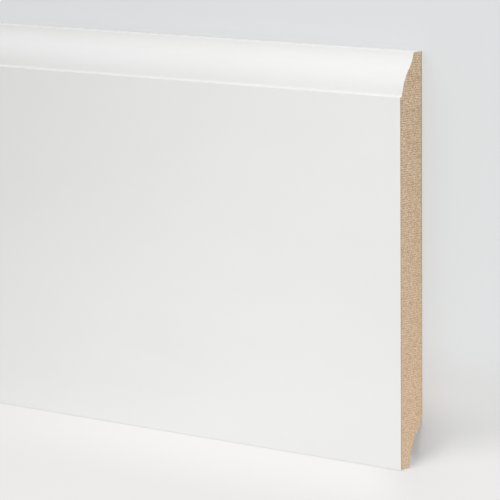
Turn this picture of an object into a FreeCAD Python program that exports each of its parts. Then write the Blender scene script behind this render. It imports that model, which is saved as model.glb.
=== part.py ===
import FreeCAD, Part
import math
import os

import Sketcher
from FreeCAD import Vector

# A length of painted fibreboard skirting, moulded and sawn from one piece of stock.
# It lies on its back. X runs along the board, +Y points to the moulded top edge, +Z points
# out of the painted face, and the origin is on the floor under the middle of the board.

# Driving dimensions, in millimetres and degrees
SIZES = {
    "board_length": 2400,
    "board_height": 220,
    "board_thickness": 18,
    # The moulding on the face, along the top edge: a ledge, a round and a hollow above it.
    # A fillet in the ledge's inner corner leaves a narrow straight below the arris.
    "moulding_height": 22.9,
    "ledge_depth": 1.6,
    "ledge_straight": 0.05,
    "ledge_slope": 3.5,
    "round_radius": 25,
    "hollow_radius": 18.6,
    "moulding_slope": 39.6,
    # The relief on the back, along the foot: a hollow at the foot and a round above it.
    "relief_hollow_radius": 30,
    "relief_round_radius": 10.5,
    "relief_slope": 42.5,
    # The sanded arrises that run the length of the board.
    "arris_radius": 0.2,
}

# Radius of the ledge's inner fillet, from the sizes above
LEDGE_FILLET = "Sizes.ledge_depth - Sizes.arris_radius - Sizes.ledge_straight"

# Ends of an edge in a sketch, and its centre
START, END, CENTRE = 1, 2, 3
# The sketch's own origin and horizontal axis
ORIGIN = (-1, 1)
ACROSS_AXIS = -1
# How the long corners are told from the other edges, and the outer ones from the inner
OUTER, INNER, SMOOTH = "outer", "inner", "smooth"
TOLERANCE = 1e-4
PROBE = 0.05
SMOOTH_ANGLE = math.radians(5)


def make_sheet(doc):
    """Writes every driving dimension to the spreadsheet, each cell under its own name."""
    sheet = doc.addObject("Spreadsheet::Sheet", "Sizes")
    for row, (name, value) in enumerate(SIZES.items(), start=1):
        sheet.set(f"A{row}", name)
        sheet.set(f"B{row}", str(value))
        sheet.setAlias(f"B{row}", name)
    doc.recompute()
    return sheet


def origin_plane(body, role):
    """Returns the plane of the body's own origin that has this role."""
    return next(plane for plane in body.Origin.OriginFeatures if plane.Role == role)


def on_circle(centre, radius, degrees):
    """Returns the point of a circle at an angle from the sketch's horizontal axis."""
    angle = math.radians(degrees)
    return centre + Vector(math.cos(angle), math.sin(angle), 0) * radius


def arc(centre, radius, first, last):
    """Returns the arc that runs anticlockwise between two angles, given in degrees."""
    circle = Part.Circle(centre, Vector(0, 0, 1), radius)
    return Part.ArcOfCircle(circle, math.radians(first), math.radians(last))


def draw_section(sketch, sheet):
    """Draws the board's section, seen along X, with Y to the right and Z up."""
    top = sheet.board_height / 2
    foot = -top
    face = sheet.board_thickness
    ledge = top - sheet.moulding_height

    # Each moulding is two arcs that meet where it slopes most, on the line between centres.
    steep = 90 - sheet.moulding_slope
    shallow = 90 - sheet.ledge_slope
    ledge_foot = Vector(ledge, face - sheet.ledge_depth, 0)
    round_centre = on_circle(ledge_foot, -sheet.round_radius, shallow)
    hollow_centre = on_circle(round_centre, sheet.round_radius + sheet.hollow_radius, steep)
    hollow_end = 270 - math.degrees(math.asin((hollow_centre.x - top) / sheet.hollow_radius))

    relief_steep = 90 - sheet.relief_slope
    reach = sheet.relief_hollow_radius + sheet.relief_round_radius
    relief_drop = reach * math.sin(math.radians(relief_steep)) - sheet.relief_round_radius
    relief_hollow_centre = Vector(foot, -relief_drop, 0)
    relief_round_centre = on_circle(relief_hollow_centre, reach, relief_steep)

    round_arc = arc(round_centre, sheet.round_radius, steep, shallow)
    hollow_arc = arc(hollow_centre, sheet.hollow_radius, 180 + steep, hollow_end)
    relief_round = arc(relief_round_centre, sheet.relief_round_radius, 180 + relief_steep, 270)
    relief_hollow = arc(relief_hollow_centre, sheet.relief_hollow_radius, relief_steep, 90)

    # The outline runs from the face's foot over the ledge and the moulding to the top edge,
    # then along the back and over the relief to the foot again.
    outline = {
        "face": Part.LineSegment(Vector(foot, face, 0), Vector(ledge, face, 0)),
        "ledge": Part.LineSegment(Vector(ledge, face, 0), ledge_foot),
        "round": round_arc,
        "hollow": hollow_arc,
        "top": Part.LineSegment(hollow_arc.EndPoint, Vector(top, 0, 0)),
        "back": Part.LineSegment(Vector(top, 0, 0), relief_round.EndPoint),
        "relief_round": relief_round,
        "relief_hollow": relief_hollow,
        "foot": Part.LineSegment(relief_hollow.EndPoint, Vector(foot, face, 0)),
    }
    edge = {name: sketch.addGeometry(shape, False) for name, shape in outline.items()}
    edge["ledge_spoke"] = sketch.addGeometry(
        Part.LineSegment(round_centre, ledge_foot), True)
    edge["moulding_centres"] = sketch.addGeometry(
        Part.LineSegment(round_centre, hollow_centre), True)
    edge["relief_centres"] = sketch.addGeometry(
        Part.LineSegment(relief_hollow_centre, relief_round_centre), True)
    return edge


def join_section(sketch, edge):
    """Closes the outline, and sets which of its edges are square, in line or tangent."""
    joins = [
        ("Coincident", "face", END, "ledge", START),
        ("Coincident", "ledge", END, "round", END),
        ("Tangent", "round", START, "hollow", START),
        ("Coincident", "hollow", END, "top", START),
        ("Coincident", "top", END, "back", START),
        ("Tangent", "back", END, "relief_round", END),
        ("Tangent", "relief_round", START, "relief_hollow", START),
        ("Coincident", "relief_hollow", END, "foot", START),
        ("Coincident", "foot", END, "face", START),
        ("Coincident", "ledge_spoke", START, "round", CENTRE),
        ("Coincident", "ledge_spoke", END, "round", END),
        ("Coincident", "moulding_centres", START, "round", CENTRE),
        ("Coincident", "moulding_centres", END, "hollow", CENTRE),
        ("Coincident", "relief_centres", START, "relief_hollow", CENTRE),
        ("Coincident", "relief_centres", END, "relief_round", CENTRE),
    ]
    for kind, first, first_end, second, second_end in joins:
        sketch.addConstraint(
            Sketcher.Constraint(kind, edge[first], first_end, edge[second], second_end))

    for name in ("face", "back"):
        sketch.addConstraint(Sketcher.Constraint("Horizontal", edge[name]))
    for name in ("ledge", "top", "foot"):
        sketch.addConstraint(Sketcher.Constraint("Vertical", edge[name]))
    # The relief leaves the foot parallel to the face.
    sketch.addConstraint(Sketcher.Constraint(
        "Vertical", edge["relief_hollow"], END, edge["relief_hollow"], CENTRE))
    sketch.addConstraint(
        Sketcher.Constraint("PointOnObject", edge["top"], END, ACROSS_AXIS))


def size_section(sketch, edge):
    """Sets each size of the section and binds it to its cell."""
    half_height = "Sizes.board_height / 2"
    sizes = [
        ("top_reach", "DistanceX", (*ORIGIN, edge["top"], END), half_height),
        ("foot_reach", "DistanceX", (edge["face"], START, *ORIGIN), half_height),
        ("thickness", "DistanceY", (*ORIGIN, edge["face"], START), "Sizes.board_thickness"),
        ("moulding_height", "DistanceX", (edge["face"], END, edge["top"], END),
         "Sizes.moulding_height"),
        ("ledge_depth", "DistanceY", (edge["ledge"], END, edge["ledge"], START),
         "Sizes.ledge_depth"),
        ("round_radius", "Radius", (edge["round"],), "Sizes.round_radius"),
        ("hollow_radius", "Radius", (edge["hollow"],), "Sizes.hollow_radius"),
        ("relief_round_radius", "Radius", (edge["relief_round"],), "Sizes.relief_round_radius"),
        ("relief_hollow_radius", "Radius", (edge["relief_hollow"],),
         "Sizes.relief_hollow_radius"),
        ("ledge_angle", "Angle", (edge["ledge_spoke"],), "(90 - Sizes.ledge_slope) * 1 deg"),
        ("moulding_angle", "Angle", (edge["moulding_centres"],),
         "(90 - Sizes.moulding_slope) * 1 deg"),
        ("relief_angle", "Angle", (edge["relief_centres"],),
         "(90 - Sizes.relief_slope) * 1 deg"),
    ]
    for name, kind, where, formula in sizes:
        value = sketch.evalExpression(formula)
        if kind == "Angle":
            value = value.getValueAs("rad")
        index = sketch.addConstraint(Sketcher.Constraint(kind, *where, float(value)))
        sketch.renameConstraint(index, name)
        sketch.setExpression(f"Constraints.{name}", formula)


def long_corners(shape, length, kind):
    """Names the edges that run the whole length and make this kind of corner."""
    names = []
    for number, edge in enumerate(shape.Edges, start=1):
        straight = isinstance(edge.Curve, Part.Line) and abs(edge.Length - length) < TOLERANCE
        if straight and corner_kind(shape, edge) == kind:
            names.append(f"Edge{number}")
    return names


def corner_kind(shape, edge):
    """Tells a corner that sticks out from an inner corner and from a smooth joint."""
    middle = edge.valueAt((edge.FirstParameter + edge.LastParameter) / 2)
    faces = shape.ancestorsOfType(edge, Part.Face)
    normals = [face.normalAt(*face.Surface.parameter(middle)) for face in faces]
    if normals[0].getAngle(normals[1]) < SMOOTH_ANGLE:
        return SMOOTH
    along_faces = [(face.CenterOfMass - middle).normalize() for face in faces]
    probe = middle + (along_faces[0] + along_faces[1]) * PROBE
    return OUTER if shape.isInside(probe, TOLERANCE, False) else INNER


def make_board(doc, sheet):
    """Builds the board: its section, the stock along X, and its rounded long corners."""
    body = doc.addObject("PartDesign::Body", "Board")
    body.Label = "skirting_board"

    sketch = body.newObject("Sketcher::SketchObject", "Section")
    sketch.AttachmentSupport = [(origin_plane(body, "YZ_Plane"), "")]
    sketch.MapMode = "FlatFace"
    edge = draw_section(sketch, sheet)
    join_section(sketch, edge)
    size_section(sketch, edge)

    stock = body.newObject("PartDesign::Pad", "Stock")
    stock.Profile = sketch
    stock.SideType = "Symmetric"
    stock.setExpression("Length", "Sizes.board_length")
    doc.recompute()

    round_corners(body, sheet, "LedgeFillet", INNER, LEDGE_FILLET)
    round_corners(body, sheet, "Arrises", OUTER, "Sizes.arris_radius")
    return body


def round_corners(body, sheet, name, kind, radius):
    """Rounds the long corners of one kind with a fillet of this radius."""
    before = body.Tip
    fillet = body.newObject("PartDesign::Fillet", name)
    fillet.Base = (before, long_corners(before.Shape, sheet.board_length, kind))
    fillet.setExpression("Radius", radius)
    body.Document.recompute()


def check(doc, bodies):
    """Stops if any object of the document failed, or if a body has no sound solid."""
    for item in doc.Objects:
        if "Invalid" in item.State or "Error" in item.State:
            raise RuntimeError(f"{item.Label} failed: {item.State}")
    for body in bodies:
        if body.Shape.isNull() or not body.Shape.isValid():
            raise RuntimeError(f"{body.Label} has no valid shape")


def main():
    doc = FreeCAD.newDocument("SkirtingBoard")
    sheet = make_sheet(doc)
    bodies = [make_board(doc, sheet)]
    check(doc, bodies)
    os.makedirs("parts", exist_ok=True)
    for body in bodies:
        body.Shape.exportStep(f"parts/{body.Label}.step")
        print(body.Label, "volume", round(body.Shape.Volume), "box", body.Shape.BoundBox)


main()
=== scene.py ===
import logging
import math
from dataclasses import dataclass, field
from enum import Enum

import bmesh
import bpy
from mathutils import Matrix, Vector


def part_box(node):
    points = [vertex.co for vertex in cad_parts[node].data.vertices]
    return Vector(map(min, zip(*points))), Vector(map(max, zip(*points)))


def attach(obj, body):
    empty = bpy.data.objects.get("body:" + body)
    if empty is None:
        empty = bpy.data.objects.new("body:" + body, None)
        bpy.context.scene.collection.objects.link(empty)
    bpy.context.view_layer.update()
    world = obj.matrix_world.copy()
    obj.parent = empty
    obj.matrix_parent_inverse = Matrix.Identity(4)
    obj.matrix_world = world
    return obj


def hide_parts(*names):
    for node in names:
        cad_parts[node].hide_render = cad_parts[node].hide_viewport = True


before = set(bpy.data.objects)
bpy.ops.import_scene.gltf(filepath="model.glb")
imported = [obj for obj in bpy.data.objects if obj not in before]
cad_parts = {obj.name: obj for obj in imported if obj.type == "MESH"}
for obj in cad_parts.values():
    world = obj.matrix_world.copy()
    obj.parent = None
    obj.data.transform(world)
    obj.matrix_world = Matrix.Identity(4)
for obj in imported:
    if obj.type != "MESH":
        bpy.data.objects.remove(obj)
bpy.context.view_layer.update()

LOG = logging.getLogger("skirting")
NODE = "skirting_board"
MM = 0.001

Triple = tuple[float, float, float]
Colour = Triple
# The two values of a pattern between which a tone comes in
Span = tuple[float, float]

# The Mix node's sockets for its factor, its two colours and its colour result
MIX_SHARE, MIX_FIRST, MIX_SECOND, MIX_RESULT = 0, 6, 7, 2


def srgb(red: int, green: int, blue: int) -> Colour:
    """Turns a colour as it looks on a screen into the linear one that shaders use.

    Args:
        red: the red part, 0 to 255.
        green: the green part, 0 to 255.
        blue: the blue part, 0 to 255.

    Returns:
        The linear colour, each part 0 to 1.
    """
    return tuple(
        c / 12.92 if c <= 0.04045 else ((c + 0.055) / 1.055) ** 2.4
        for c in (red / 255, green / 255, blue / 255)
    )


class Finish(Enum):
    """The finishes of the board, in the order of its material slots."""

    PAINT = 0
    SAWN = 1
    BACK = 2


class Value:
    """A shader socket that takes Python's arithmetic, each operation adding a Math node."""

    def __init__(self, tree: "NodeTree", socket: bpy.types.NodeSocket) -> None:
        """Wraps one output socket of a node tree."""
        self.tree = tree
        self.socket = socket

    def math(self, operation: str, *others: "Value | float") -> "Value":
        """Adds a Math node.

        Args:
            operation: the node's operation, such as "ADD".
            others: the second and third inputs, where the operation has them.

        Returns:
            The node's result.
        """
        inputs = dict(enumerate((self, *others)))
        return self.tree.node("ShaderNodeMath", inputs, operation=operation)

    def __add__(self, other: "Value | float") -> "Value":
        """self + other."""
        return self.math("ADD", other)

    def __radd__(self, other: float) -> "Value":
        """other + self."""
        return self.math("ADD", other)

    def __sub__(self, other: "Value | float") -> "Value":
        """self - other."""
        return self.math("SUBTRACT", other)

    def __rsub__(self, other: float) -> "Value":
        """other - self."""
        return self.tree.node("ShaderNodeMath", {0: other, 1: self}, operation="SUBTRACT")

    def __mul__(self, other: "Value | float") -> "Value":
        """self * other."""
        return self.math("MULTIPLY", other)

    def __rmul__(self, other: float) -> "Value":
        """other * self."""
        return self.math("MULTIPLY", other)

    def rise(self, low: float, high: float) -> "Value":
        """Goes smoothly from 0 to 1 as the value rises, or as it falls if low is the larger.

        Args:
            low: the value that gives 0.
            high: the value that gives 1.

        Returns:
            The share, 0 to 1.
        """
        ramp = self.tree.node(
            "ShaderNodeMapRange",
            {"Value": self, "From Min": min(low, high), "From Max": max(low, high)},
            interpolation_type="SMOOTHSTEP", output="Result")
        return 1.0 - ramp if low > high else ramp


class NodeTree:
    """A tree of shader nodes, of a material or of the world."""

    def __init__(self, tree: bpy.types.NodeTree) -> None:
        """Takes a new tree, which already has its output and one shader."""
        self.nodes = tree.nodes
        self.links = tree.links

    def node(
        self,
        kind: str,
        inputs: dict[str | int, object] | None = None,
        output: str | int = 0,
        **settings: object,
    ) -> Value:
        """Adds a node of any type.

        Args:
            kind: the node's type.
            inputs: values or links of its sockets, by name or number.
            output: the socket to return.
            settings: the node's own settings, which are set first.

        Returns:
            The chosen output.
        """
        made = self.nodes.new(kind)
        for name, value in settings.items():
            setattr(made, name, value)
        for name, value in (inputs or {}).items():
            self.feed(made.inputs[name], value)
        return Value(self, made.outputs[output])

    def feed(self, socket: bpy.types.NodeSocket, value: object) -> None:
        """Links a socket to a value's node, or sets it.

        Args:
            socket: the input socket.
            value: a value of this tree, or a number, a vector or a colour.
        """
        if isinstance(value, Value):
            self.links.new(value.socket, socket)
        elif isinstance(value, tuple) and socket.type == "RGBA":
            socket.default_value = (*value, 1.0)
        else:
            socket.default_value = value

    def seen(self) -> Value:
        """Tells what the camera sees, also in a mirror or through glass, from other light.

        Returns:
            1 for what is seen, 0 for light that only falls on something.
        """
        path = self.node("ShaderNodeLightPath").socket.node
        camera, mirror, glass = (
            Value(self, path.outputs[name])
            for name in ("Is Camera Ray", "Is Glossy Ray", "Is Transmission Ray"))
        return camera.math("MAXIMUM", mirror.math("MAXIMUM", glass))

    def mix(self, share: Value | float, first: Value | Colour, second: Value | Colour) -> Value:
        """Goes from the first colour, at 0, to the second, at 1."""
        inputs = {MIX_SHARE: share, MIX_FIRST: first, MIX_SECOND: second}
        return self.node("ShaderNodeMix", inputs, output=MIX_RESULT, data_type="RGBA")


class Shader(NodeTree):
    """A material's node tree, with one Principled BSDF that its finish sets."""

    def __init__(self, name: str) -> None:
        """Makes the material with its output and its Principled BSDF.

        Args:
            name: the material's name.
        """
        self.material = bpy.data.materials.new(name)
        self.material.use_nodes = True
        super().__init__(self.material.node_tree)
        self.bsdf = self.nodes["Principled BSDF"]

    def place(self) -> Value:
        """The point on the object, in metres."""
        return self.node("ShaderNodeTexCoord", output="Object")

    def axes(self, point: Value) -> list[Value]:
        """Splits a point into its X, Y and Z."""
        split = self.node("ShaderNodeSeparateXYZ", {0: point})
        return [Value(self, out) for out in split.socket.node.outputs]

    def stretched(self, point: Value, stretch: Triple, turn: Triple = (0.0, 0.0, 0.0)) -> Value:
        """Squeezes and turns a point, so that a pattern read there comes out long or tilted."""
        return self.node(
            "ShaderNodeMapping", {"Vector": point, "Rotation": turn, "Scale": stretch})

    def noise(self, point: Value, grain: float, detail: float = 2.0, roughness: float = 0.5,
              distortion: float = 0.0) -> Value:
        """Makes a soft random pattern, around 0.5.

        Args:
            point: where it is read.
            grain: the width of its grains, in metres.
            detail: how many finer layers it has.
            roughness: how strong the finer layers are.
            distortion: how far its grains are bent.

        Returns:
            The pattern.
        """
        return self.node(
            "ShaderNodeTexNoise",
            {"Vector": point, "Scale": 1.0 / grain, "Detail": detail,
             "Roughness": roughness, "Distortion": distortion},
            output="Fac")

    def grains(self, point: Value, size: float) -> Value:
        """Gives each of many cells a random shade.

        Args:
            point: where they are read.
            size: about how wide the cells are, in metres.

        Returns:
            The shade, 0 to 1.
        """
        return self.node(
            "ShaderNodeTexVoronoi",
            {"Vector": point, "Scale": 1.0 / size, "Randomness": 1.0},
            output="Color", feature="F1")

    def ripple(self, point: Value, pitch: float, waver: float) -> Value:
        """Makes fine uneven waves that follow each other along Y.

        Args:
            point: where they are read.
            pitch: their distance, in metres.
            waver: how far they stray, in radians of a wave.

        Returns:
            The waves, 0 to 1.
        """
        # At a scale of 1 the node's waves are pi / 10 apart
        return self.node(
            "ShaderNodeTexWave",
            {"Vector": point, "Scale": math.pi / 10 / pitch, "Distortion": waver,
             "Detail": 2.0, "Detail Scale": 7.0, "Detail Roughness": 0.6},
            output="Fac", wave_type="BANDS", bands_direction="Y")

    def flecks(self, point: Value, spacing: float, size: float, core: float = 0.3) -> Value:
        """Scatters soft round spots.

        Args:
            point: where they are read.
            spacing: their distance, in metres.
            size: how far each reaches from its centre, in metres.
            core: the share of that reach within which it is full.

        Returns:
            The spots, 1 at their centres and 0 between them.
        """
        cells = self.node(
            "ShaderNodeTexVoronoi",
            {"Vector": point, "Scale": 1.0 / spacing, "Randomness": 1.0},
            output="Distance", feature="F1")
        return cells.rise(size / spacing, core * size / spacing)

    def bump(self, height: Value, distance: float, strength: float = 1.0) -> Value:
        """Turns a height into a surface normal.

        Args:
            height: the height, 0 to 1.
            distance: how many metres high 1 is.
            strength: how much of the slope shows.

        Returns:
            The normal.
        """
        return self.node(
            "ShaderNodeBump",
            {"Height": height, "Distance": distance, "Strength": strength},
            output="Normal")

    def set(self, **sockets: object) -> None:
        """Sets sockets of the Principled BSDF.

        Args:
            sockets: their values or links, each under its name in small letters, with its
                words joined by underscores.
        """
        for name, value in sockets.items():
            title = " ".join(word.capitalize() for word in name.split("_"))
            self.feed(self.bsdf.inputs[title], value)


@dataclass(frozen=True)
class SatinPaint:
    """White satin paint, sprayed in a thin even coat over sanded fibreboard."""

    colour: Colour = srgb(232, 232, 230)
    thin_colour: Colour = srgb(229, 228, 225)
    roughness: float = 0.5
    roughness_change: float = 0.12
    cloud_grain: float = 60 * MM
    cloud_stretch: Triple = (0.3, 1.0, 1.0)
    thin_span: Span = (0.35, 0.75)
    peel_grain: float = 1.6 * MM
    peel_height: float = 0.02 * MM
    nib_spacing: float = 9 * MM
    nib_size: float = 0.25 * MM
    nib_height: float = 0.6

    def make(self) -> bpy.types.Material:
        """Builds the material, with orange peel, faint cloudiness and a few nibs where airborne
        specks settled in the wet coat.

        Returns:
            The material.
        """
        shader = Shader("satin_paint")
        point = shader.place()
        cloud = shader.noise(
            shader.stretched(point, self.cloud_stretch), self.cloud_grain, detail=3)
        peel = shader.noise(point, self.peel_grain)
        nibs = shader.flecks(point, self.nib_spacing, self.nib_size)
        shader.set(
            base_color=shader.mix(cloud.rise(*self.thin_span), self.colour, self.thin_colour),
            roughness=self.roughness + (cloud - 0.5) * self.roughness_change,
            normal=shader.bump(peel + nibs * self.nib_height, self.peel_height),
        )
        return shader.material


@dataclass(frozen=True)
class SawnFibreboard:
    """Bare fibreboard as a fine saw leaves it: matted tan fibres, and a dense skin on each side."""

    colour: Colour = srgb(230, 197, 163)
    light: Colour = srgb(252, 233, 203)
    dark: Colour = srgb(183, 145, 110)
    fleck: Colour = srgb(122, 97, 71)
    # Painted light: the paler tone that the sawn end takes towards the foot
    painted_foot_light: Colour = srgb(250, 212, 175)
    skin: Colour = srgb(186, 162, 135)
    skin_depth: float = 1.1 * MM
    skin_full: float = 0.33 * MM
    skin_share: float = 0.7
    # How much the skin deepens at the front and fades at the back towards the foot, as painted
    # shade and painted light
    front_skin_gain: float = 0.3
    back_skin_loss: float = 0.6
    grain: float = 0.28 * MM
    grain_share: float = 0.75
    light_span: Span = (0.21, 0.86)
    fibre: float = 0.38 * MM
    fibre_stretch: Triple = (1.0, 1.2, 0.6)
    fibre_height: float = 0.6
    saw_pitch: float = 1.2 * MM
    saw_waver: float = 6.0
    saw_share: float = 0.3
    bundle: float = 1.3 * MM
    bundle_stretch: Triple = (1.0, 0.5, 1.5)
    bundle_turn: Triple = (0.6, 0.0, 0.0)
    bundle_span: Span = (0.5, 0.75)
    bundle_share: float = 0.3
    bundle_height: float = 0.4
    cloud: float = 12 * MM
    cloud_span: Span = (0.3, 0.8)
    cloud_share: float = 0.1
    fleck_spacing: float = 2.4 * MM
    fleck_size: float = 0.45 * MM
    fleck_share: float = 0.7
    fleck_dip: float = 0.3
    painted_foot_light_share: float = 0.3
    roughness: float = 0.82
    roughness_change: float = 0.1
    relief: float = 0.05 * MM

    def make(self, low: Vector, high: Vector) -> bpy.types.Material:
        """Builds the material.

        Args:
            low: the board's lowest corner.
            high: the board's highest corner.

        Returns:
            The material.
        """
        shader = Shader("sawn_fibreboard")
        point = shader.place()
        _, across, height = shader.axes(point)
        along = shader.stretched(point, self.fibre_stretch)
        grains = shader.grains(along, self.grain)
        ripple = shader.ripple(point, self.saw_pitch, self.saw_waver)
        fibres = shader.noise(along, self.fibre, roughness=0.7, distortion=0.4)
        bundles = shader.noise(
            shader.stretched(point, self.bundle_stretch, self.bundle_turn), self.bundle)
        clouds = shader.noise(point, self.cloud)
        flecks = shader.flecks(along, self.fleck_spacing, self.fleck_size)
        # Painted light: 1 at the foot and 0 at the moulded edge, so the sawn end grows paler
        # towards the foot
        painted_foot_light = across.rise(high.y, low.y)
        # A dense, darker skin along the face and the back, which the board has; towards the foot it
        # deepens at the front as painted shade and fades at the back as painted light
        skin = (
            height.rise(high.z - self.skin_depth, high.z - self.skin_full)
            * (self.skin_share + painted_foot_light * self.front_skin_gain)
            + height.rise(low.z + self.skin_depth, low.z + self.skin_full)
            * (self.skin_share - painted_foot_light * self.back_skin_loss)
        )

        lights = (grains * self.grain_share + ripple * self.saw_share).rise(*self.light_span)
        tone = shader.mix(lights, self.dark, self.light)
        tone = shader.mix(
            bundles.rise(*self.bundle_span) * self.bundle_share, tone, self.colour)
        tone = shader.mix(clouds.rise(*self.cloud_span) * self.cloud_share, tone, self.dark)
        tone = shader.mix(flecks * self.fleck_share, tone, self.fleck)
        # Painted light: paler towards the foot
        tone = shader.mix(painted_foot_light * self.painted_foot_light_share, tone, self.painted_foot_light)
        tone = shader.mix(skin, tone, self.skin)
        bumps = (
            fibres * self.fibre_height + bundles * self.bundle_height - flecks * self.fleck_dip
        )
        shader.set(
            base_color=tone,
            roughness=self.roughness + fibres * self.roughness_change,
            normal=shader.bump(bumps, self.relief),
        )
        return shader.material


@dataclass(frozen=True)
class SandedBack:
    """The back: bare fibreboard sanded smooth, with a breath of paint along its long edges."""

    colour: Colour = srgb(186, 156, 122)
    light: Colour = srgb(202, 174, 140)
    fibre_dark: Colour = srgb(146, 117, 87)
    overspray: Colour = srgb(222, 219, 212)
    overspray_reach: float = 9 * MM
    overspray_grain: float = 14 * MM
    overspray_share: float = 0.7
    mottle: float = 7 * MM
    light_span: Span = (0.3, 0.75)
    fibre: float = 0.7 * MM
    fibre_stretch: Triple = (0.35, 1.0, 1.0)
    fibre_turn: Triple = (0.0, 0.0, 0.5)
    fibre_span: Span = (0.62, 0.78)
    fibre_share: float = 0.5
    fibre_height: float = 0.5
    crossed: float = 0.8 * MM
    crossed_stretch: Triple = (1.0, 0.3, 1.0)
    crossed_turn: Triple = (0.0, 0.0, 0.35)
    crossed_span: Span = (0.64, 0.8)
    crossed_share: float = 0.4
    scratch: float = 0.4 * MM
    scratch_stretch: Triple = (0.02, 1.0, 1.0)
    scratch_height: float = 0.5
    roughness: float = 0.66
    roughness_change: float = 0.12
    relief: float = 0.03 * MM

    def make(self, low: Vector, high: Vector) -> bpy.types.Material:
        """Builds the material.

        Args:
            low: the board's lowest corner.
            high: the board's highest corner.

        Returns:
            The material.
        """
        shader = Shader("sanded_back")
        point = shader.place()
        across = shader.axes(point)[1]
        mottle = shader.noise(point, self.mottle, detail=4, roughness=0.6)
        fibres = shader.noise(
            shader.stretched(point, self.fibre_stretch, self.fibre_turn), self.fibre, detail=3)
        crossed = shader.noise(
            shader.stretched(point, self.crossed_stretch, self.crossed_turn), self.crossed,
            detail=3)
        scratches = shader.noise(shader.stretched(point, self.scratch_stretch), self.scratch)
        wander = shader.noise(point, self.overspray_grain, detail=4) * self.overspray_reach
        spray = (
            (across + wander).rise(high.y - self.overspray_reach, high.y)
            + (across - wander).rise(low.y + self.overspray_reach, low.y)
        )
        tone = shader.mix(mottle.rise(*self.light_span), self.colour, self.light)
        tone = shader.mix(
            fibres.rise(*self.fibre_span) * self.fibre_share, tone, self.fibre_dark)
        tone = shader.mix(
            crossed.rise(*self.crossed_span) * self.crossed_share, tone, self.fibre_dark)
        tone = shader.mix(spray * self.overspray_share, tone, self.overspray)
        bumps = scratches * self.scratch_height + fibres * self.fibre_height
        shader.set(
            base_color=tone,
            roughness=self.roughness + mottle * self.roughness_change,
            normal=shader.bump(bumps, self.relief),
        )
        return shader.material


def on_slope(centre: tuple[float, float], reach: float, slope: float) -> tuple[float, float]:
    """The point this far from a centre, leaning from +Z towards +Y by this angle."""
    return centre[0] + reach * math.sin(slope), centre[1] + reach * math.cos(slope)


def is_end(face: bmesh.types.BMFace | bpy.types.MeshPolygon) -> bool:
    """Tells a face of a sawn end from the long faces."""
    return abs(face.normal.x) > 0.5


def is_back(face: bpy.types.MeshPolygon) -> bool:
    """Tells a long face that looks at the wall, once the board is fitted."""
    return face.normal.z < -0.5


def runs_along(edge: bmesh.types.BMEdge) -> bool:
    """Tells an edge that runs along the board."""
    run = edge.verts[0].co - edge.verts[1].co
    return abs(run.x) > 0.99 * run.length


class Pen:
    """Draws an outline across the board in edit mode, extruding and spinning one vertex."""

    weld: float = 0.01 * MM

    def __init__(self, name: str, x: float, start: tuple[float, float]) -> None:
        """Puts the pen down.

        Args:
            name: the new piece's name.
            x: the place along the board of the outline's plane.
            start: the first point's Y and Z.
        """
        self.x = x
        self.start = start
        self.here = start
        bpy.ops.object.select_all(action="DESELECT")
        bpy.ops.mesh.primitive_plane_add(size=MM, location=(x, *start))
        bpy.ops.object.transform_apply(location=True, rotation=True, scale=True)
        self.piece = bpy.context.object
        self.piece.name = self.piece.data.name = name
        bpy.ops.object.mode_set(mode="EDIT")
        bpy.ops.mesh.select_all(action="SELECT")
        bpy.ops.mesh.merge(type="CENTER")

    def line(self, y: float, z: float) -> None:
        """Draws a straight run to a point.

        Args:
            y: the point's place across the board.
            z: its height.
        """
        step = (0.0, y - self.here[0], z - self.here[1])
        bpy.ops.mesh.extrude_vertices_move(TRANSFORM_OT_translate={"value": step})
        self.here = (y, z)

    def arc(self, centre: tuple[float, float], turn: float, steps: int) -> None:
        """Draws an arc.

        Args:
            centre: the Y and Z of its centre.
            turn: its angle in radians, clockwise as seen from the board's +X end.
            steps: how many flats it is made of.
        """
        bpy.ops.mesh.spin(
            steps=steps, angle=turn, center=(self.x, *centre), axis=(1.0, 0.0, 0.0))
        spoke = Vector((self.here[0] - centre[0], self.here[1] - centre[1]))
        spoke = Matrix.Rotation(-turn, 2) @ spoke
        self.here = (centre[0] + spoke.x, centre[1] + spoke.y)

    def close(self) -> bpy.types.Object:
        """Draws the last run back to the start and fills the outline.

        Returns:
            The piece, still in edit mode, with its one face selected.
        """
        self.line(*self.start)
        bpy.ops.mesh.select_all(action="SELECT")
        bpy.ops.mesh.remove_doubles(threshold=self.weld)
        bpy.ops.mesh.edge_face_add()
        return self.piece


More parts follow.
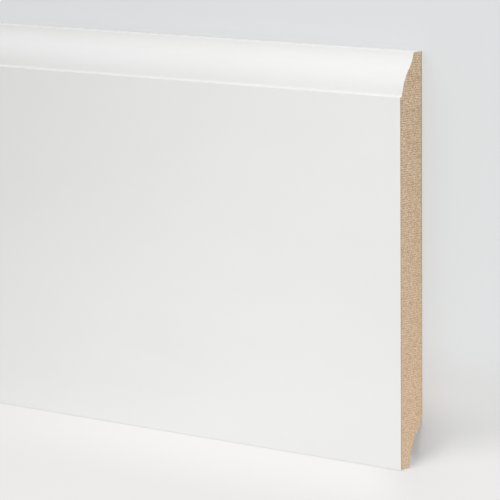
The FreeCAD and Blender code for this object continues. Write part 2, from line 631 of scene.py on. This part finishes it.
@dataclass
class SkirtingBoard:
    """One length of fibreboard skirting, lying on its back with its moulded edge at +Y."""

    low: Vector
    high: Vector
    moulding_height: float = 22.9 * MM
    ledge_depth: float = 1.6 * MM
    ledge_straight: float = 0.05 * MM
    ledge_slope: float = math.radians(3.5)
    round_radius: float = 25 * MM
    hollow_radius: float = 18.6 * MM
    moulding_slope: float = math.radians(39.6)
    relief_hollow_radius: float = 30 * MM
    relief_round_radius: float = 10.5 * MM
    relief_slope: float = math.radians(42.5)
    arris_radius: float = 0.2 * MM
    arris_angle: float = math.radians(15)
    paint_film: float = 0.15 * MM
    arc_steps: int = 20
    fillet_steps: int = 8
    arris_steps: int = 4
    smooth_angle: float = math.radians(30)
    paint: SatinPaint = field(default_factory=SatinPaint)
    sawn: SawnFibreboard = field(default_factory=SawnFibreboard)
    back: SandedBack = field(default_factory=SandedBack)

    def build(self) -> bpy.types.Object:
        """Models the board, dresses it and puts it in the frame.

        Returns:
            The finished piece.
        """
        piece = self.draw_section()
        self.extrude_length()
        self.soften_arrises(piece)
        self.part_the_film(piece)
        bpy.ops.object.mode_set(mode="OBJECT")
        bpy.ops.object.shade_smooth_by_angle(angle=self.smooth_angle)
        self.dress(piece)
        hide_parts(NODE)
        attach(piece, "root")
        return piece

    def draw_section(self) -> bpy.types.Object:
        """Draws the board's section at its +X end, from the foot of the face and round.

        Returns:
            The piece, in edit mode, as one flat face.
        """
        foot, top = self.low.y, self.high.y
        back, face = self.low.z, self.high.z
        ledge = top - self.moulding_height
        round_centre = on_slope(
            (ledge, face - self.ledge_depth), -self.round_radius, self.ledge_slope)
        fillet_radius = self.ledge_depth - self.arris_radius - self.ledge_straight
        fillet_reach = self.round_radius + fillet_radius
        fillet_slope = math.asin((ledge + fillet_radius - round_centre[0]) / fillet_reach)
        fillet_centre = on_slope(round_centre, fillet_reach, fillet_slope)
        hollow_centre = on_slope(
            round_centre, self.round_radius + self.hollow_radius, self.moulding_slope)
        top_slope = math.asin((hollow_centre[0] - top) / self.hollow_radius)

        pen = Pen("painted_board", self.high.x, (foot, face))
        pen.line(ledge, face)
        pen.line(ledge, fillet_centre[1])
        pen.arc(fillet_centre, fillet_slope - math.pi / 2, self.fillet_steps)
        pen.arc(round_centre, self.moulding_slope - fillet_slope, self.arc_steps)
        pen.arc(hollow_centre, top_slope - self.moulding_slope, self.arc_steps)

        relief_reach = self.relief_hollow_radius + self.relief_round_radius
        relief_height = relief_reach * math.sin(self.relief_slope)
        relief_depth = relief_reach * (1 - math.cos(self.relief_slope))
        pen.line(top, back)
        pen.line(foot + relief_height, back)
        pen.arc((foot + relief_height, back + self.relief_round_radius),
                self.relief_slope, self.arc_steps)
        pen.arc((foot, back + relief_depth - self.relief_hollow_radius),
                -self.relief_slope, self.arc_steps)
        return pen.close()

    def extrude_length(self) -> None:
        """Extrudes the section along the board, and turns all faces outwards."""
        bpy.ops.mesh.extrude_region_move(
            TRANSFORM_OT_translate={"value": (self.low.x - self.high.x, 0.0, 0.0)})
        bpy.ops.mesh.select_all(action="SELECT")
        bpy.ops.mesh.normals_make_consistent(inside=False)

    def soften_arrises(self, piece: bpy.types.Object) -> None:
        """Rounds the long outer corners, which are sanded before the board is painted.

        Args:
            piece: the board, in edit mode.
        """
        bpy.ops.mesh.select_mode(type="EDGE")
        bpy.ops.mesh.select_all(action="DESELECT")
        mesh = bmesh.from_edit_mesh(piece.data)
        for edge in mesh.edges:
            edge.select_set(
                runs_along(edge) and edge.calc_face_angle_signed() > self.arris_angle)
        bmesh.update_edit_mesh(piece.data)
        bpy.ops.mesh.bevel(
            offset=self.arris_radius, offset_type="OFFSET", segments=self.arris_steps,
            affect="EDGES")

    def part_the_film(self, piece: bpy.types.Object) -> None:
        """Insets both sawn ends, so that the cut film of paint shows as a line around them.

        Args:
            piece: the board, in edit mode.
        """
        bpy.ops.mesh.select_mode(type="FACE")
        bpy.ops.mesh.select_all(action="DESELECT")
        mesh = bmesh.from_edit_mesh(piece.data)
        for face in mesh.faces:
            face.select_set(is_end(face))
        bmesh.update_edit_mesh(piece.data)
        bpy.ops.mesh.inset(thickness=self.paint_film, use_individual=True)

    def dress(self, piece: bpy.types.Object) -> None:
        """Gives each face its finish, by the way that it looks and by what it borders.

        Args:
            piece: the board, in object mode.
        """
        made = {
            Finish.PAINT: self.paint.make(),
            Finish.SAWN: self.sawn.make(self.low, self.high),
            Finish.BACK: self.back.make(self.low, self.high),
        }
        for finish in Finish:
            piece.data.materials.append(made[finish])
        faces = piece.data.polygons
        sides = {key: face for face in faces if not is_end(face) for key in face.edge_keys}
        for face in faces:
            bordered = [sides[key] for key in face.edge_keys if key in sides]
            face.material_index = self.finish_of(face, bordered).value

    def finish_of(
        self, face: bpy.types.MeshPolygon, bordered: list[bpy.types.MeshPolygon]
    ) -> Finish:
        """Tells a face's finish.

        Args:
            face: a face of the board.
            bordered: the long faces that share an edge with it.

        Returns:
            Paint on the front, the edges and the cut film at the ends, bare board elsewhere.
        """
        if not is_end(face):
            return Finish.BACK if is_back(face) else Finish.PAINT
        film = any(not is_back(side) for side in bordered)
        return Finish.PAINT if film else Finish.SAWN


@dataclass(frozen=True)
class DistantLamp:
    """A broad soft light that reaches the whole board evenly."""

    name: str
    source: Vector
    spread: float
    strength: float
    colour: Colour = (1.0, 1.0, 1.0)

    def hang(self) -> None:
        """Makes the lamp, shining from its source to the origin."""
        lamp = bpy.data.lights.new(self.name, "SUN")
        lamp.angle = self.spread
        lamp.energy = self.strength
        lamp.color = self.colour
        holder = bpy.data.objects.new(self.name, lamp)
        bpy.context.collection.objects.link(holder)
        holder.rotation_euler = (-self.source).to_track_quat("-Z", "Y").to_euler()


@dataclass(frozen=True)
class DiskLamp:
    """A soft round lamp near the board."""

    name: str
    place: Vector
    target: Vector
    diameter: float
    watts: float
    spread: float = math.pi

    def hang(self) -> None:
        """Makes the lamp, aimed at its target and out of the camera's sight."""
        lamp = bpy.data.lights.new(self.name, "AREA")
        lamp.shape = "DISK"
        lamp.size = self.diameter
        lamp.energy = self.watts
        lamp.spread = self.spread
        holder = bpy.data.objects.new(self.name, lamp)
        bpy.context.collection.objects.link(holder)
        holder.location = self.place
        holder.rotation_euler = (self.target - self.place).to_track_quat("-Z", "Y").to_euler()
        holder.visible_camera = False


@dataclass
class Studio:
    """A pale floor under soft light, which comes mostly from all sides."""

    near_end: float
    floor_size: float = 60.0
    floor_drop: float = 0.2 * MM
    floor_colour: Colour = srgb(231, 231, 231)
    floor_roughness: float = 0.9
    far_glow: Colour = srgb(220, 223, 224)
    # Painted shade: the backdrop's darker tone towards the board's foot
    painted_backdrop_shade_glow: Colour = srgb(213, 214, 212)
    # Painted shadow: the tone of the board's shadow beyond the foot's corner and of its contact
    # line
    shade_glow: Colour = srgb(186, 186, 186)
    near_glow: Colour = srgb(237, 235, 234)
    # Painted light: the palest tone, in the pool of light along the foot
    foot_glow: Colour = srgb(253, 252, 251)
    far_share: float = 0.62
    near_share: float = 0.85
    # The border between the pale floor and the grey backdrop; past the +X end it slants and widens,
    # so that the grey tone traces the edge of the painted shadow there
    border_side: float = -108 * MM
    border_width: float = 9.5 * MM
    border_slant: float = 0.22
    corner_from: float = -8 * MM
    corner_to: float = 20 * MM
    corner_slant: float = 0.3
    corner_spread: float = 0.6
    outward_spread: float = 0.15
    # Across the board, where the backdrop's painted shade begins and where it is full
    painted_backdrop_shade_from: float = -35 * MM
    painted_backdrop_shade_to: float = -68 * MM
    # The painted shadow beyond the foot's corner: where it begins and is full across, how far past
    # the end it reaches, and where it stops under the board
    shade_from: float = -68 * MM
    shade_to: float = -92 * MM
    shade_reach: float = 105 * MM
    shade_hidden: float = -60 * MM
    # The painted contact shadow: a thin dark line on the floor just past the foot
    contact_shadow_side: float = -114.9 * MM
    contact_shadow_width: float = 0.8 * MM
    contact_shadow_from: float = -10 * MM
    contact_shadow_to: float = -16 * MM
    contact_shadow_depth: float = 0.6
    # The painted pool of light along the foot: where it comes in and is full along the board, where
    # it fades past the end, and its edge across
    pool_from: float = -450 * MM
    pool_full: float = -150 * MM
    pool_fades: float = -45 * MM
    pool_side: float = -152 * MM
    sky_strength: float = 0.55
    sky_colour: Colour = (1.0, 1.0, 1.0)
    window_colour: Colour = (0.94, 0.96, 1.03)
    beam: float = math.radians(60)

    def build(self) -> None:
        """Sets up the floor, the sky and the lamps."""
        self.build_floor()
        self.build_sky()
        for lamp in self.lamps():
            lamp.hang()
            LOG.info("%s hung", lamp.name)

    def lamps(self) -> list[DistantLamp | DiskLamp]:
        """Lists the lamps: two windows, and three small lamps over the board's +X end.

        Returns:
            The lamps, not hung yet.
        """
        end = Vector((self.near_end, 0.0, 0.0))
        return [
            DistantLamp(
                "window", source=Vector((0.1, 0.98, 0.15)), spread=math.radians(30),
                strength=0.99, colour=self.window_colour),
            DistantLamp(
                "side_window", source=Vector((-0.6, 0.55, 0.58)), spread=math.radians(40),
                strength=0.6),
            DiskLamp(
                "edge_lamp", place=end + Vector((0.1, 0.3, 0.5)),
                target=end + Vector((0.0, 0.1, 0.0)),
                diameter=0.4, watts=0.109, spread=self.beam),
            DiskLamp(
                "foot_lamp", place=end + Vector((-0.3, -0.4, 0.6)),
                target=end + Vector((-0.3, -0.25, 0.0)),
                diameter=0.3, watts=0.148, spread=self.beam),
            DiskLamp(
                "corner_lamp", place=end + Vector((0.15, -0.35, 0.6)),
                target=end + Vector((-0.05, -0.2, 0.0)),
                diameter=0.3, watts=0.182, spread=self.beam),
        ]

    def build_floor(self) -> None:
        """Lays a wide floor just under the board."""
        bpy.ops.object.select_all(action="DESELECT")
        bpy.ops.mesh.primitive_plane_add(size=self.floor_size)
        floor = bpy.context.object
        floor.name = floor.data.name = "floor"
        bpy.ops.object.mode_set(mode="EDIT")
        bpy.ops.transform.translate(value=(0.0, 0.0, -self.floor_drop))
        bpy.ops.object.mode_set(mode="OBJECT")
        floor.data.materials.append(self.make_floor_finish())

    def make_floor_finish(self) -> bpy.types.Material:
        """Builds the floor's material, which partly shows fixed tones of its own.

        Its fixed tones hold painted light and shade: a painted pool of light along the foot, a
        painted contact shadow along the foot's edge, a grey backdrop behind the board that darkens
        towards the foot as painted shade, and a painted shadow beyond the foot's corner. The rest
        of what is seen is the floor itself, so that it keeps the board's shadow.

        Returns:
            The material.
        """
        shader = Shader("floor")
        along, across, _ = shader.axes(shader.place())
        beyond = along - self.near_end
        behind = (-2.0 * self.near_end - beyond).math("MAXIMUM", 0.0)
        past = beyond.math("MAXIMUM", self.corner_from)
        corner = past.math("MINIMUM", self.corner_to)
        # Near the +X end the grey backdrop tone reaches under the relief and slants with the
        # painted shadow, standing in for shade there as well as for the backdrop
        inward = across - past * self.border_slant - corner * self.corner_slant - self.border_side
        width = (
            corner * self.corner_spread + self.border_width
            + (past - corner + behind) * self.outward_spread
        )
        far = inward.math("DIVIDE", width).rise(-0.5, 0.5)
        # Painted shadow of the board on the floor beyond the foot's corner, fading with the
        # distance past the end
        fade = (1.0 - past * (1.0 / self.shade_reach)).math("MAXIMUM", 0.0)
        # Painted shade: the grey backdrop darkens towards the board's foot, along its whole length
        painted_backdrop_shade = across.rise(self.painted_backdrop_shade_from, self.painted_backdrop_shade_to)
        shade = (
            across.rise(self.shade_from, self.shade_to) * fade * fade
            * beyond.rise(self.shade_hidden, self.corner_from)
        )
        # Painted contact shadow: a thin dark line on the floor along the foot's edge, over the
        # board's length
        painted_contact_shadow = (
            across.rise(self.contact_shadow_side - self.contact_shadow_width, self.contact_shadow_side)
            * beyond.rise(self.contact_shadow_from, self.contact_shadow_to)
            * behind.rise(self.contact_shadow_width, 0.0) * self.contact_shadow_depth
        )
        # Painted pool of light on the floor along the foot
        pool = (
            across.rise(self.pool_side, self.border_side)
            * beyond.rise(self.pool_from, self.pool_full)
            * beyond.rise(0.0, self.pool_fades)
        )
        glow = shader.mix(
            far,
            shader.mix(painted_contact_shadow, shader.mix(pool, self.near_glow, self.foot_glow), self.shade_glow),
            shader.mix(shade, shader.mix(painted_backdrop_shade, self.far_glow, self.painted_backdrop_shade_glow), self.shade_glow))
        shader.set(base_color=self.floor_colour, roughness=self.floor_roughness)
        shown = shader.node("ShaderNodeEmission", {"Color": glow})
        share = self.near_share + far * (self.far_share - self.near_share)
        surface = shader.node(
            "ShaderNodeMixShader",
            {0: shader.seen() * share, 1: Value(shader, shader.bsdf.outputs[0]), 2: shown})
        shader.feed(shader.nodes["Material Output"].inputs["Surface"], surface)
        return shader.material

    def build_sky(self) -> None:
        """Lights all sides evenly, and shows the floor's far colour past the floor."""
        world = bpy.data.worlds.new("studio")
        world.use_nodes = True
        bpy.context.scene.world = world
        tree = NodeTree(world.node_tree)
        light = tree.nodes["Background"]
        light.inputs["Color"].default_value = (*self.sky_colour, 1.0)
        light.inputs["Strength"].default_value = self.sky_strength
        shown = tree.node("ShaderNodeBackground", {"Color": self.far_glow})
        surface = tree.node(
            "ShaderNodeMixShader", {0: tree.seen(), 1: Value(tree, light.outputs[0]), 2: shown})
        tree.feed(tree.nodes["World Output"].inputs["Surface"], surface)


@dataclass
class PhotoCamera:
    """A long lens that looks down on the board's +X end, with the moulded edge at the top."""

    near_end: float
    face: float
    foot: float
    focal_pixels: float = 3466.3
    frame_pixels: float = 500.0
    sensor: float = 36.0
    yaw: float = math.radians(-41.544)
    pitch: float = math.radians(8.355)
    roll: float = math.radians(-0.5)
    past_end: float = 1127.3 * MM
    above_face: float = 1390.5 * MM
    above_foot: float = 380.6 * MM
    near_clip: float = 0.01
    far_clip: float = 200.0

    def build(self) -> None:
        """Makes the camera and puts it in its place.

        The angles are those of a camera that sees the board stand on its foot: yaw turns it
        to the right, pitch down, and roll about its own axis.
        """
        forward = Vector((
            math.sin(self.yaw) * math.cos(self.pitch),
            -math.sin(self.pitch),
            -math.cos(self.yaw) * math.cos(self.pitch),
        ))
        level = Vector((math.cos(self.yaw), 0.0, math.sin(self.yaw)))
        upright = level.cross(forward)
        right = level * math.cos(self.roll) + upright * math.sin(self.roll)
        up = upright * math.cos(self.roll) - level * math.sin(self.roll)

        data = bpy.data.cameras.new("photo")
        data.sensor_width = self.sensor
        data.lens = self.focal_pixels / self.frame_pixels * self.sensor
        data.clip_start = self.near_clip
        data.clip_end = self.far_clip
        camera = bpy.data.objects.new("photo", data)
        bpy.context.collection.objects.link(camera)
        turn = Matrix((right, up, -forward)).transposed().to_4x4()
        place = Vector((
            self.near_end + self.past_end, self.foot + self.above_foot,
            self.face + self.above_face))
        camera.matrix_world = Matrix.Translation(place) @ turn
        bpy.context.scene.camera = camera


def main() -> None:
    """Builds the board, the studio and the camera, and logs the board's face count."""
    logging.basicConfig(level=logging.INFO, format="%(name)s: %(message)s")
    low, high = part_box(NODE)
    board = SkirtingBoard(Vector(low), Vector(high)).build()
    LOG.info("%s has %d faces", board.name, len(board.data.polygons))
    Studio(near_end=high[0]).build()
    PhotoCamera(near_end=high[0], face=high[2], foot=low[1]).build()
    bpy.context.scene.view_settings.view_transform = "Standard"


if __name__ == "__main__":
    main()
